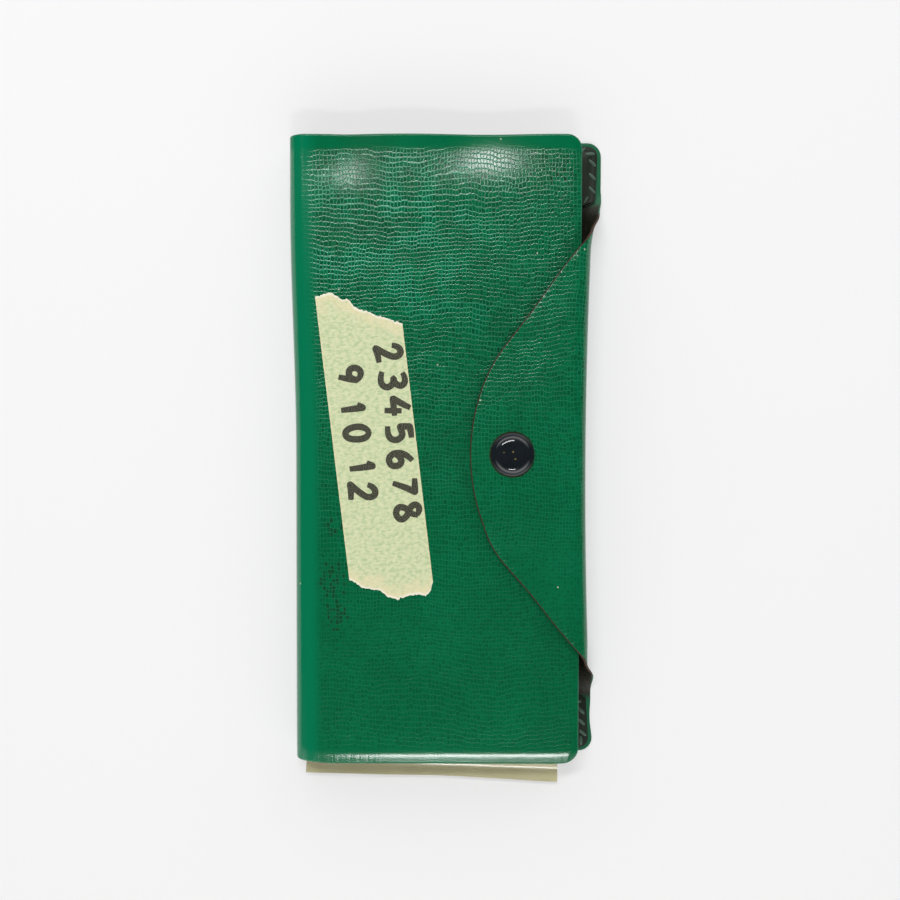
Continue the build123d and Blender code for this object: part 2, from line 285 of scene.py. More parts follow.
def folded(u, v, lift):
    """Place of a point of the flat sheet once the case is folded up. Lift is its height over
    the middle of the sheet, on the inner side."""
    if u < spine_x:
        rolled = min(pi, (spine_x - u) / roll_radius)
        ring = roll_radius - lift
        beyond = max(0.0, spine_x - roll_length - u)
        x = spine_x - ring * sin(rolled) + beyond
        over = rolled / pi
        z = spine_z - ring * cos(rolled) + over * over * front_lift(x, v)
        shift = edge_shift(x, v, over > 0.99)
        return Vector((x + shift, v + over * end_shift(x, v), z))
    if u <= bend_x:
        return Vector((u + edge_shift(u, v, False), v, vinyl / 2 + lift))
    along = u - bend_x
    curl = ear_curl(v)
    x, z, angle = bend_x, vinyl / 2, 0.0
    for length, bent in [(bend_length, 1), (wall_length, 0), (bend_length, 1), (200.0, 0)]:
        step = min(along, length)
        turn = bent * curl * step / bend_radius
        chord = step if turn < 1e-6 else step * sin(turn / 2) / (turn / 2)
        x += chord * cos(angle + turn / 2)
        z += chord * sin(angle + turn / 2)
        angle += turn
        along -= step
        if along <= 0:
            break
    x -= lift * sin(angle)
    z += lift * cos(angle)
    if u > neck_u:
        z += tongue_lift(x, v)
    return Vector((x + edge_shift(x, v, False), v, z))


def leave_edit():
    """Closes the open piece, so that its mesh can be read."""
    bpy.ops.object.mode_set(mode="OBJECT")


def take(*pieces):
    """Selects these pieces and no others, and makes the first of them the active one."""
    if bpy.context.object and bpy.context.object.mode == "EDIT":
        leave_edit()
    bpy.ops.object.select_all(action="DESELECT")
    for piece in pieces:
        piece.select_set(True)
    bpy.context.view_layer.objects.active = pieces[0]


def edit(piece, mode="VERT"):
    """Opens one piece for editing with nothing picked."""
    take(piece)
    bpy.ops.object.mode_set(mode="EDIT")
    bpy.ops.mesh.select_mode(type=mode)
    bpy.ops.mesh.select_all(action="DESELECT")


def pick_all():
    bpy.ops.mesh.select_all(action="SELECT")


def pick(piece, kind, wanted):
    """Picks only the vertices, edges or faces whose middle, in millimetres, is wanted."""
    bpy.ops.mesh.select_mode(type={"verts": "VERT", "edges": "EDGE", "faces": "FACE"}[kind])
    bpy.ops.mesh.select_all(action="DESELECT")
    mesh = bmesh.from_edit_mesh(piece.data)
    for element in getattr(mesh, kind):
        if kind == "verts":
            middle = element.co / mm
        elif kind == "edges":
            middle = (element.verts[0].co + element.verts[1].co) / 2 / mm
        else:
            middle = element.calc_center_median() / mm
        if wanted(middle):
            element.select_set(True)
    mesh.select_flush_mode()
    bmesh.update_edit_mesh(piece.data)


def rectangle(left, right, half):
    """A flat rectangle, open for editing, from left to right in U and half each way in V."""
    bpy.ops.mesh.primitive_plane_add(size=1)
    piece = bpy.context.object
    edit(piece)
    pick_all()
    bpy.ops.transform.resize(value=((right - left) * mm, 2 * half * mm, 1))
    bpy.ops.transform.translate(value=((right + left) / 2 * mm, 0, 0))
    return piece


def round_off(offset, segments):
    """Rounds the picked corners of an open piece."""
    bpy.ops.mesh.bevel(
        offset=offset * mm, offset_type="ABSOLUTE", segments=segments, affect="VERTICES"
    )


def score(places, axis, **ends):
    """Cuts all of the open piece along straight lines at these places, in millimetres."""
    normal = Vector([axis == other for other in "XYZ"])
    for place in places:
        pick_all()
        point = normal * (place * mm)
        bpy.ops.mesh.bisect(plane_co=point, plane_no=normal, threshold=1e-7, **ends)


def extrude(across, up):
    """Draws out the picked part of an open piece."""
    step = (across * mm, 0, up * mm)
    bpy.ops.mesh.extrude_region_move(TRANSFORM_OT_translate={"value": step})


def steps(low, high, size):
    """Places from low to high, both left out, at about the size given."""
    count = max(1, round((high - low) / size))
    return [low + (high - low) * number / count for number in range(1, count)]


def thick_plate(piece, bottom, thickness, rim):
    """Gives a flat outline its thickness and rounds its cut edges."""
    edit(piece, "FACE")
    pick_all()
    bpy.ops.mesh.dissolve_limited(angle_limit=radians(1))
    pick_all()
    bpy.ops.transform.translate(value=(0, 0, bottom * mm))
    extrude(0, thickness)
    pick_all()
    bpy.ops.mesh.normals_make_consistent(inside=False)
    pick(piece, "edges", lambda middle: abs(middle.z - bottom - thickness / 2) > thickness / 4)
    bpy.ops.mesh.bevel(offset=rim * mm, segments=2, affect="EDGES", clamp_overlap=False)


def lay_uv(piece):
    """Writes the flat sheet's own U and V as the piece's UV map, a quarter metre to the square."""
    layer = piece.data.uv_layers.new(name="flat")
    for loop in piece.data.loops:
        place = piece.data.vertices[loop.vertex_index].co
        across, along = (place.x - map_left) / map_side, (place.y - map_lower) / map_side
        layer.data[loop.index].uv = (across, along)


def fold_up(piece):
    """Folds a flat piece into its place in the closed case."""
    for vertex in piece.data.vertices:
        vertex.co = folded(*(vertex.co / mm)) * mm
    piece.data.update()


def finish_piece(piece, name, material, angle=40):
    """Names a finished piece, gives it its material, and smooths all but its sharp edges."""
    take(piece)
    piece.name = name
    piece.data.name = name
    piece.data.materials.clear()
    piece.data.materials.append(material)
    bpy.ops.object.transform_apply()
    bpy.ops.object.shade_smooth_by_angle(angle=radians(angle))


# The outline: both covers, then the flap drawn out of the right edge to a point
flat_sheet = rectangle(front_edge_u, ear_u, cover_half)
score([flap_middle - ear_half, flap_middle + ear_half], "Y")
pick(flat_sheet, "edges", lambda middle: middle.x > ear_u - 1 and abs(middle.y) < 10)
extrude(apex_u - ear_u, 0)
bpy.ops.mesh.merge(type="CENTER")
pick_all()
bpy.ops.mesh.dissolve_limited(angle_limit=radians(1))
pick(flat_sheet, "verts", lambda place: place.x > apex_u - 1)
round_off(tip_rounding, 24)
pick(flat_sheet, "verts", lambda place: abs(place.y) > cover_half - 1)
round_off(corner_radius, 6)
ear_roots = [Vector((ear_u, flap_middle + side * ear_half, 0)) for side in (-1, 1)]
pick(flat_sheet, "verts", lambda place: any((place - root).length < 0.02 for root in ear_roots))
round_off(6, 8)
thick_plate(flat_sheet, -vinyl / 2, vinyl, 0.35)

# Grid lines: close together where the sheet bends, and wide apart where it is flat
grid_u = steps(front_edge_u, spine_x - roll_length, 3.5)
grid_u += [spine_x - roll_length] + steps(spine_x - roll_length, spine_x, 0.55) + [spine_x]
grid_u += steps(spine_x, bend_x, 3.5) + steps(bend_x, bend_x + bend_length, 0.45)
grid_u += [bend_x + bend_length, wall_middle_u, wall_middle_u + wall_length / 2]
grid_u += steps(neck_u - bend_length, neck_u, 0.45) + [neck_u]
grid_u += steps(neck_u, tip_u, 2.2)
grid_v = steps(-cover_half, -cover_half + 9, 0.75) + steps(cover_half - 9, cover_half, 0.75)
grid_v += steps(-92, -65, 0.9) + steps(63, 92, 0.9) + steps(-65, 63, 3.2)
score(grid_u, "X", use_fill=False)
score(grid_v, "Y", use_fill=False)
leave_edit()
lay_uv(flat_sheet)


def flank_line(below, slope, corner, soft):
    """U of a lower flank that runs out into the ear's edge round a soft corner."""
    above_corner = corner - below
    if abs(above_corner) < soft:
        return ear_u + slope * (above_corner + soft) ** 2 / (4 * soft)
    return ear_u + slope * max(0.0, above_corner)


for vertex in flat_sheet.data.vertices:  # the lower flank is cut a little flatter than the upper
    u, v, lift = vertex.co / mm
    below = flap_middle - v
    if u > 45 and 0 < below < 86:
        outline = flank_line(below, (apex_u - ear_u) / ear_half, ear_half, 5.3)
        trim = outline - flank_line(below, 0.878, 75.06, 4.0)
        vertex.co.x -= trim * smooth(below, 20, 36) * smooth(u, 45, outline) * mm


def green_vinyl():
    """Deep green glossy vinyl. Its embossed grain is a net of small cells in rows, with wavy ribs
    along the rows, paled partly by wear and partly by a painted sheen on top, and worn away
    towards the lower end."""
    green = Finish("embossed_green_vinyl")
    place = green.mapped("flat", map_side / mm)
    wavy = green.pushed(place, green.noise(place, 0.022, 1.0, "Color"), (5, 9, 0))
    wavy = green.pushed(wavy, green.noise(place, 0.20, 1.0, "Color"), (0.9, 1.5, 0))
    in_cells = green.scaled(wavy, (1 / 1.08, 1 / 1.4, 0))
    edge = green.cells(in_cells, 0.3, "DISTANCE_TO_EDGE")["Distance"]
    net = green.ranged(edge, 0.02, 0.18, 1.0, 0.0)
    across_rows = green.split(in_cells)["Y"]
    row = green.maths("FRACT", green.maths("SUBTRACT", across_rows, 0.21))
    rib = green.ranged(green.off(row, 0.5), 0.02, 0.20, 1.0, 0.0)
    stretched = green.scaled(wavy, (0.075, 0.62, 0))
    rib_shown = green.ranged(green.noise(stretched, 1.0, 1.0), 0.50, 0.68, 0.0, 0.9)
    rib = green.times(rib, rib_shown)
    grain = green.maths("MAXIMUM", net, green.times(rib, 0.9))

    along = green.split(place)
    depth = green.ranged(along["Y"], 40, 175, 0.52, 1.0)
    pressed = green.ranged(green.off(along["Y"], 125), 92.5, 96.5, 1.0, 0.1)
    from_spine = green.off(along["X"], 98.5)
    rolled = green.ranged(from_spine, 7.5, 12, 0.2, 1.0)
    on_flap = green.ranged(along["X"], 196, 200, 1.0, 0.85)
    depth = green.times(depth, pressed, rolled, on_flap)
    crimp = green.noise(green.scaled(place, (0.8, 0.07, 0)), 1.0, 2.0)
    crimp = green.times(crimp, green.ranged(along["Y"], 25.5, 31, 1.3, 0.0))
    height = green.maths("ADD", green.times(grain, depth), crimp)
    green.bump(height, 0.09, 0.4)

    mottle = green.noise(place, 0.05, 4.0)
    colour = green.mix(mottle, (0.0003, 0.102, 0.035), (0.0007, 0.150, 0.058))
    chance = green.split(green.cells(in_cells, 0.3, "F1")["Color"])["X"]
    # Painted shade: the sunken cells are darkened, by a random amount in each cell.
    in_cell = green.maths("SUBTRACT", 1.0, net)
    painted_shade_in_cells = green.times(in_cell, chance, depth, 0.7)
    colour = green.mix(painted_shade_in_cells, colour, (0.0004, 0.045, 0.017))
    # Paled net and ribs: partly patchy wear, and partly a painted sheen that is strongest towards
    # the upper left and the upper end.
    worn = green.ranged(green.noise(place, 0.09, 4.0), 0.40, 0.62, 0.1, 0.9)
    from_painted_sheen_patch = green.vector("DISTANCE", place, (68, 194, 0))
    painted_sheen_patch = green.ranged(from_painted_sheen_patch, 8, 56, 0.78, 0.22)
    painted_sheen_patch = green.times(painted_sheen_patch, green.ranged(along["Y"], 60, 175, 0.26, 1.0))
    pale = green.times(grain, worn, depth, painted_sheen_patch)
    colour = green.mix(pale, colour, (0.014, 0.32, 0.18))
    smoothed = green.ranged(from_spine, 7.5, 12.5, 0.85, 0.0)
    colour = green.mix(smoothed, colour, (0.0006, 0.175, 0.078))

    dirty = 0.0
    dirt_spots = [(82.8, 84, 9), (82.0, 73, 8), (10.8, 211, 5), (83, 101, 5), (60, 100, 4)]
    for spot_u, spot_v, radius in dirt_spots:
        away = green.vector("DISTANCE", place, (spot_u, spot_v, 0))
        spot = green.ranged(away, 0.2 * radius, radius, 0.75, 0.0)
        dirty = green.maths("MAXIMUM", dirty, spot)
    held = green.ranged(green.maths("ADD", chance, dirty), 1.12, 1.35, 0.0, 1.0)
    dirt = green.times(held, in_cell, 0.5)
    colour = green.mix(dirt, colour, (0.012, 0.016, 0.008))
    # Painted shadow: a thin dark brown ring on the tongue round the foot of the snap cap.
    from_snap = green.vector("DISTANCE", place, (231.87, 124, 0))
    painted_shadow_ring = green.ranged(from_snap, 6.9, 7.5, 0.9, 0.0)
    colour = green.mix(painted_shadow_ring, colour, (0.030, 0.012, 0.006))

    sparse = green.scaled(place, (0.085, 0.085, 0))
    flecks = green.cells(sparse, 1.0, "F1")
    small = green.ranged(flecks["Distance"], 0.012, 0.03, 1.0, 0.0)
    few = green.maths("GREATER_THAN", green.split(flecks["Color"])["Y"], 0.92)
    colour = green.mix(green.times(small, few), colour, (0.45, 0.50, 0.36))
    green.give("Base Color", colour)
    shown = green.times(grain, depth)
    green.give("Roughness", green.ranged(shown, 0.0, 0.8, 0.15, 0.30))
    green.give("Specular IOR Level", green.ranged(along["Y"], 218.5, 221, 0.5, 0.12))
    return green.material


vinyl_material = green_vinyl()


def plain_vinyl(name, dark, light, rough, ears=None):
    """The sheet where it has no grain: its backing and its cut edges, mottled and matt. The
    backing is dark between the ears, partly a dark soiled backing and partly painted shade inside
    the fold, and green at the ears."""
    plain = Finish(name)
    place = plain.object_place()
    mottle = plain.noise(place, 0.5, 4.0, flat=False)
    colour = plain.mix(mottle, dark, light)
    if ears:
        from_flap = plain.off(plain.split(plain.mapped("flat", map_side / mm))["Y"], 124.0)
        away = plain.ranged(from_flap, 79, 82, 0.0, 1.0)
        colour = plain.mix(away, colour, ears)
    plain.give("Base Color", colour)
    plain.give("Specular IOR Level", 0.25)
    plain.give("Roughness", plain.ranged(mottle, 0.3, 0.7, rough - 0.06, rough + 0.06))
    plain.bump(plain.noise(place, 2.2, 2.0, flat=False), 0.04, 0.4)
    return plain.material


# Painted shade: the backing is near black between the ears, where the inside of the fold lies in
# shade.
backing = plain_vinyl("vinyl_backing", (0.010, 0.014, 0.008), (0.024, 0.020, 0.012), 0.55,
                      (0.004, 0.11, 0.045))
cut_green = plain_vinyl("cut_edge", (0.006, 0.10, 0.045), (0.022, 0.16, 0.082), 0.45)
# The tongue's cut edge is dark brown: partly soil, and partly a painted shadow for the gap under
# the flap's edge.
cut_edge_soil_and_shade = plain_vinyl("soiled_and_shaded_cut_edge", (0.020, 0.012, 0.006), (0.055, 0.022, 0.010), 0.6)


def copied(piece):
    """A copy of a piece with its own mesh."""
    copy = piece.copy()
    copy.data = piece.data.copy()
    bpy.context.collection.objects.link(copy)
    return copy


def sheet_part(name, from_u, to_u, cut_edge):
    """A copy of the flat sheet, cut off at one or both U lines and closed there."""
    part = copied(flat_sheet)
    edit(part)
    if from_u is not None:
        score([from_u], "X", use_fill=True, clear_inner=True)
    if to_u is not None:
        score([to_u], "X", use_fill=True, clear_outer=True)
    leave_edit()
    sides = [0 if face.normal.z < -0.96 else 1 if face.normal.z > 0.9 else 2
             for face in part.data.polygons]
    fold_up(part)
    finish_piece(part, name, vinyl_material)
    part.data.materials.append(backing)
    part.data.materials.append(cut_edge)
    for face, side in zip(part.data.polygons, sides):
        face.material_index = side
    return part


covers = sheet_part("outer_sheet_covers", None, bend_x, cut_green)
lower_fold = sheet_part("outer_sheet_lower_fold", bend_x, wall_middle_u, cut_green)
tongue = sheet_part("outer_sheet_tongue", wall_middle_u, None, cut_edge_soil_and_shade)
bpy.data.objects.remove(flat_sheet)

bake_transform(covers)
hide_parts("back_cover", "cover_spine", "front_cover")
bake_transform(lower_fold)
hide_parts("flap_fold")
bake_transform(tongue)
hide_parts("flap_tongue")

# Back lining and slip pocket. Thin dark vinyl is welded inside the back cover, and a second ply
# on it makes a pocket that is open towards the spine. A twisted rope pattern is pressed into the
# pocket's weld. Both plies lie flat and are folded up with the sheet, so they follow its ears.
liner = 0.4
liner_margin = 1.3
pocket_margin = 1.8
weld_width = 2.4
neck_half = 76.5  # from the flap's middle line to where its neck leaves the back cover


def scuffs():
    """A group for small wear that is the same on every piece: fine scratches and soft mottle,
    both from place in millimetres."""
    tree = bpy.data.node_groups.new("scuffs", "ShaderNodeTree")
    tree.interface.new_socket("Place", in_out="INPUT", socket_type="NodeSocketVector")
    for name in ["Scratches", "Mottle"]:
        tree.interface.new_socket(name, in_out="OUTPUT", socket_type="NodeSocketFloat")
    worn = Finish(tree=tree)
    taken = worn.nodes.new("NodeGroupInput").outputs["Place"]
    given = worn.nodes.new("NodeGroupOutput").inputs
    drawn_out = worn.scaled(taken, (2.6, 0.12, 1.5))
    lines = worn.ranged(worn.noise(drawn_out, 1.0, 3.0, flat=False), 0.60, 0.72, 0.0, 1.0)
    worn.feed(lines, given["Scratches"])
    worn.feed(worn.noise(taken, 0.16, 4.0, flat=False), given["Mottle"])
    return tree


scuff_group = scuffs()


def scuffed(finish):
    """The scuff group's outputs, set in a finish."""
    node = finish.add("Group")
    node.node_tree = scuff_group
    finish.feed(finish.object_place(), node.inputs["Place"])
    return node.outputs


def dark_lining(name, dark, light):
    """Smooth dark green vinyl with a slightly leathery face."""
    lining = Finish(name)
    worn = scuffed(lining)
    place = lining.object_place()
    lining.give("Base Color", lining.mix(worn["Mottle"], dark, light))
    lining.give("Roughness", lining.ranged(worn["Mottle"], 0.3, 0.7, 0.42, 0.6))
    lining.give("Specular IOR Level", 0.25)
    lining.bump(lining.noise(place, 1.6, 3.0, flat=False), 0.05, 0.5)
    return lining.material


# The lining's near-black tone is partly the dark vinyl itself and partly painted shade under the
# front cover.
lining_with_painted_shade = dark_lining("dark_lining", (0.006, 0.012, 0.007), (0.014, 0.022, 0.013))
# The rope strands are paler than the lining as a painted highlight on their raised tops.
rope_with_painted_highlight = dark_lining("rope_weld", (0.026, 0.060, 0.042), (0.090, 0.145, 0.105))


def inner_ply(left_u, margin, bottom):
    """A flat ply for the inside of the back cover, in from the sheet's outline by a margin."""
    right_u = ear_u - margin
    half = cover_half - margin
    inside_u = bend_x - bend_gap
    notch = neck_half + margin
    ply = rectangle(left_u, right_u, half)
    score([inside_u], "X")
    score([flap_middle - notch, flap_middle + notch], "Y")
    pick(ply, "faces", lambda place: place.x > inside_u and abs(place.y - flap_middle) < notch)
    bpy.ops.mesh.delete(type="FACE")
    for side in (-1, 1):
        corner = Vector((right_u, flap_middle + side * notch, 0))
        pick(ply, "verts", lambda place: (place - corner).length < 0.1)
        bpy.ops.transform.translate(value=(0, side * 3.2 * mm, 0))
    pick(ply, "verts", lambda place: place.x > right_u - 1 and abs(place.y) > half - 1)
    round_off(corner_radius - margin, 6)
    thick_plate(ply, bottom, liner, 0.12)
    score(steps(left_u, bend_x - 8, 4) + steps(bend_x - 8, right_u, 0.8), "X")
    score(steps(-84, -69, 0.9) + steps(67, 82, 0.9) + steps(-66, 64, 5), "Y")
    score(steps(-half, 4 - half, 0.6) + steps(half - 4, half, 0.6), "Y")
    leave_edit()
    return ply


back_lining = inner_ply(spine_x + bend_gap, liner_margin, vinyl / 2)
fold_up(back_lining)
finish_piece(back_lining, "back_lining", lining_with_painted_shade)
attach(back_lining, "back")
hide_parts("back_liner")

pocket_mouth_u = spine_x + 12
pocket = inner_ply(pocket_mouth_u, pocket_margin, vinyl / 2 + liner)
for vertex in pocket.data.vertices:
    place = vertex.co / mm
    from_edge = min(ear_u - pocket_margin - place.x, cover_half - pocket_margin - abs(place.y))
    if abs(place.y - flap_middle) < neck_half + pocket_margin:
        from_edge = min(from_edge, bend_x - bend_gap - place.x)
    vertex.co.z += 0.3 * mm * smooth(from_edge, 1.9, 2.6)
fold_up(pocket)
finish_piece(pocket, "slip_pocket", lining_with_painted_shade)
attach(pocket, "back")
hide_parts("back_pocket")

rope_inset = pocket_margin + weld_width / 2
rope_pitch = 3.9
rope_x = ear_u - rope_inset
rope_y = cover_half - rope_inset
rope_neck_x = bend_x - bend_gap - weld_width / 2
rope_corners = [
    (pocket_mouth_u + 2, rope_y),
    (rope_x - 1.5, rope_y),
    (rope_x, rope_y - 1.5),
    (rope_x, flap_middle + neck_half + 6.5),
    (rope_neck_x, flap_middle + neck_half + 2.5),
    (rope_neck_x, flap_middle - neck_half - 2.5),
    (rope_x, flap_middle - neck_half - 6.5),
    (rope_x, 1.5 - rope_y),
    (rope_x - 1.5, -rope_y),
    (pocket_mouth_u + 2, -rope_y),
]
bpy.ops.mesh.primitive_uv_sphere_add(segments=12, ring_count=8, radius=mm)
strand = bpy.context.object
edit(strand)
pick_all()
bpy.ops.transform.resize(value=(1.65, 0.58, 0.38))
leave_edit()
for vertex in strand.data.vertices:  # each strand is an S, thickest in its middle
    bend = sin(vertex.co.x / (1.55 * mm) * pi / 2)
    vertex.co.y += 0.28 * mm * bend
strands = []
for start, end in zip(rope_corners, rope_corners[1:]):
    run = Vector((*end, 0)) - Vector((*start, 0))
    count = max(1, round(run.length / rope_pitch))
    for number in range(count):
        copy = copied(strand)
        spot = Vector((*start, 0)) + run * (number + 0.5) / count
        copy.location = (spot.x * mm, spot.y * mm, (vinyl / 2 + 2 * liner) * mm)
        copy.rotation_euler = (0, 0, atan2(run.y, run.x) + radians(32))
        strands.append(copy)
bpy.data.objects.remove(strand)
take(*strands)
bpy.ops.object.join()
rope = bpy.context.object
bpy.ops.object.transform_apply()
fold_up(rope)
finish_piece(rope, "pocket_rope_weld", rope_with_painted_highlight, 60)
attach(rope, "back")

# Front lining. The same dark vinyl, welded inside the front cover, and rolled down with it at
# both ends.
front_lining_right = front_edge_u + liner_margin
front_lining_left = spine_x - roll_length - bend_gap
ply_half = cover_half - liner_margin
front_lining = rectangle(front_lining_right, front_lining_left, ply_half)
pick(front_lining, "verts", lambda place: place.x < front_lining_right + 1)
round_off(corner_radius - liner_margin, 6)
thick_plate(front_lining, vinyl / 2, liner, 0.12)
score(steps(front_lining_right, front_lining_left, 3.5), "X")
score(steps(-ply_half, 8 - ply_half, 0.8) + steps(ply_half - 24, ply_half, 1.2), "Y")
score(steps(8 - ply_half, ply_half - 24, 4), "Y")
leave_edit()
fold_up(front_lining)
finish_piece(front_lining, "front_lining", lining_with_painted_shade)
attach(front_lining, "front")
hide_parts("front_liner")

# Label tape. A strip of crepe masking tape is stuck on the front cover, a little askew. It is
# thin enough for the green to show through, its two ends are torn, and its edges have browned.
tape_middle = (-22.2, -0.3)
tape_tilt = radians(6.8)
tape_thickness = 0.15
front_face_z = 11.4
upper_tear = [
    (-13.4, 50.7), (-8.2, 51.6), (-6.4, 50.2), (-4.8, 48.8), (-3.0, 49.0), (-1.3, 46.2),
    (0.4, 45.1), (3.0, 44.2), (5.2, 42.7), (7.4, 41.9), (10.6, 40.4), (13.2, 39.2),
]
lower_tear = [
    (-12.9, -39.8), (-11.7, -40.5), (-9.4, -42.6), (-6.1, -43.6), (-3.9, -44.1), (-1.8, -46.4),
    (1.4, -47.7), (4.9, -46.9), (7.6, -46.8), (10.5, -47.5), (12.2, -46.2), (13.0, -43.5),
]


def torn_at(points, across, seed):
    """How far along the tape its torn end is, at a place across it, with fine teeth added."""
    across = min(points[-1][0], max(points[0][0], across))
    for (low, first), (high, second) in zip(points, points[1:]):
        if across <= high:
            along = first + (second - first) * (across - low) / (high - low)
            teeth = noise.noise(Vector((across * 1.9, seed, 0.0)))
            return along + 0.55 * teeth + 0.25 * noise.noise(Vector((across * 6.1, seed, 9.0)))


def laid(middle, turn, across, along):
    """X and Y of a point that is given in a frame with this middle and turn."""
    x = middle[0] + across * cos(turn) - along * sin(turn)
    return x, middle[1] + across * sin(turn) + along * cos(turn)


def on_front(across, along, height):
    """Place on the front cover's face of a point in the tape's own frame."""
    x, y = laid(tape_middle, tape_tilt, across, along)
    return Vector((x, y, front_face_z + front_lift(x, y) + height))


def masking_tape():
    """Pale yellow-green crepe paper, blotched where the green shows through, browner at its
    ends and edges."""
    paper = Finish("crepe_masking_tape")
    place = paper.mapped("tape", 100)
    share = paper.mapped("share", 100)  # in hundredths of the tape's length
    crepe = paper.noise(paper.scaled(place, (0.55, 2.1, 0)), 1.0, 3.0)
    blotch = paper.noise(paper.scaled(place, (0.7, 0.9, 0)), 1.0, 6.0)
    show = paper.ranged(blotch, 0.40, 0.64, 0.0, 0.8)
    colour = paper.mix(show, (0.60, 0.64, 0.38), (0.40, 0.52, 0.27))
    streak = paper.ranged(crepe, 0.35, 0.7, 0.0, 0.45)
    colour = paper.mix(streak, colour, (0.74, 0.75, 0.53))
    from_side = paper.off(paper.split(place)["X"], 50.0)
    ragged = paper.noise(place, 0.35, 3.0)
    edge = paper.ranged(paper.maths("ADD", from_side, ragged), 12.9, 13.6, 0.0, 0.45)
    from_middle = paper.off(paper.split(share)["Y"], 50.0)
    end_wear = paper.maths("ADD", from_middle, paper.times(ragged, 9.0))
    tip = paper.ranged(end_wear, 47.0, 55.0, 0.0, 0.8)
    colour = paper.mix(paper.maths("MAXIMUM", edge, tip), colour, (0.76, 0.67, 0.42))
    fibre = paper.ranged(paper.maths("ADD", from_middle, ragged), 49.5, 50.0, 0.0, 0.6)
    colour = paper.mix(fibre, colour, (0.86, 0.84, 0.76))
    paper.give("Specular IOR Level", 0.2)
    paper.give("Base Color", colour)
    paper.give("Roughness", paper.ranged(crepe, 0.3, 0.7, 0.5, 0.72))
    paper.bump(crepe, 0.12, 0.8)
    return paper.material


def thicken(piece, thickness, offset):
    """Gives a surface its thickness: to one side of it for an offset of 1, to both for 0."""
    take(piece)
    solid = piece.modifiers.new("thickness", "SOLIDIFY")
    solid.thickness = thickness * mm
    solid.offset = offset
    bpy.ops.object.modifier_apply(modifier="thickness")


tape_columns, tape_rows = 56, 110
bpy.ops.mesh.primitive_grid_add(x_subdivisions=tape_columns, y_subdivisions=tape_rows, size=2)
tape = bpy.context.object
tape.data.uv_layers[0].name = "share"
tape_places = []
for vertex in tape.data.vertices:
    across = 13.2 * vertex.co.x
    fuzz = 0.10 * noise.noise(Vector((vertex.co.y * 60, vertex.co.x, 3.0))) * abs(vertex.co.x) ** 9
    upper = torn_at(upper_tear, across, 2.0)
    lower = torn_at(lower_tear, across, 5.0)
    along = lower + (upper - lower) * (vertex.co.y + 1) / 2
    tape_places.append(((across + 50) / 100, (along + 50) / 100))
    vertex.co = on_front(across + fuzz, along, 0.02) * mm
tape_uv = tape.data.uv_layers.new(name="tape")
for loop in tape.data.loops:
    tape_uv.data[loop.index].uv = tape_places[loop.vertex_index]
thicken(tape, tape_thickness, 1.0)
finish_piece(tape, "masking_tape", masking_tape())
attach(tape, "front")
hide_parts("label_tape")

# Numbers on the tape. Plain numbers for the hook sizes, drawn with a broad felt marker down the
# tape. Each stroke is a curve with a round section, pressed flat onto the paper.
ink_width = 2.1
number_height = 7.6
glyph_strokes = {  # from the lower left corner, in hundredths of a number's height
    "0": [[(32, 100), (10, 86), (4, 40), (20, 0), (50, 6), (60, 55), (50, 95), (28, 100)]],
    "1": [[(16, 74), (30, 94), (34, 98), (34, 94), (33, 50), (32, 0)]],
    "2": [[(5, 72), (14, 100), (50, 106), (60, 72), (34, 36), (2, 2), (2, 0), (30, 4), (66, 2)]],
    "3": [[(4, 90), (34, 106), (62, 86), (46, 56), (20, 54), (50, 54), (68, 24), (40, -4),
           (0, 8)]],
    "4": [[(40, 100), (24, 70), (2, 36), (2, 34), (30, 36), (68, 38)],
          [(50, 66), (48, 30), (46, 0)]],
    "5": [[(60, 100), (34, 100), (12, 98), (12, 96), (8, 58), (10, 56), (46, 68), (68, 36),
           (46, -2), (2, 6)]],
    "6": [[(50, 100), (16, 78), (0, 26), (24, -6), (60, 6), (60, 46), (30, 56), (8, 30)]],
    "7": [[(2, 96), (34, 96), (62, 98), (62, 96), (42, 56), (24, 0)]],
    "8": [[(54, 84), (34, 104), (6, 90), (16, 62), (50, 44), (64, 12), (32, -6), (2, 14), (16, 46),
           (46, 60), (56, 88)]],
    "9": [[(58, 86), (34, 106), (4, 86), (8, 50), (40, 44), (58, 66), (60, 90), (56, 50),
           (42, 0)]],
}
marker_rows = [("2 3 4 5 6 7 8", 4.3, 33.0, 5.35, 3.1), ("9 10 12", -9.2, 27.6, 7.6, 3.4)]
marker_seed = random.Random(8)


def marker_ink():
    """Black felt marker, a little thinner in streaks."""
    ink = Finish("black_marker")
    place = ink.object_place()
    streaks = ink.noise(ink.scaled(place, (3.4, 5.6, 0)), 1.0, 5.0)
    thin = ink.ranged(streaks, 0.44, 0.60, 0.0, 0.9)
    ink.give("Base Color", ink.mix(thin, (0.006, 0.006, 0.006), (0.15, 0.15, 0.10)))
    ink.give("Specular IOR Level", 0.2)
    ink.give("Roughness", ink.ranged(streaks, 0.3, 0.7, 0.45, 0.65))
    return ink.material


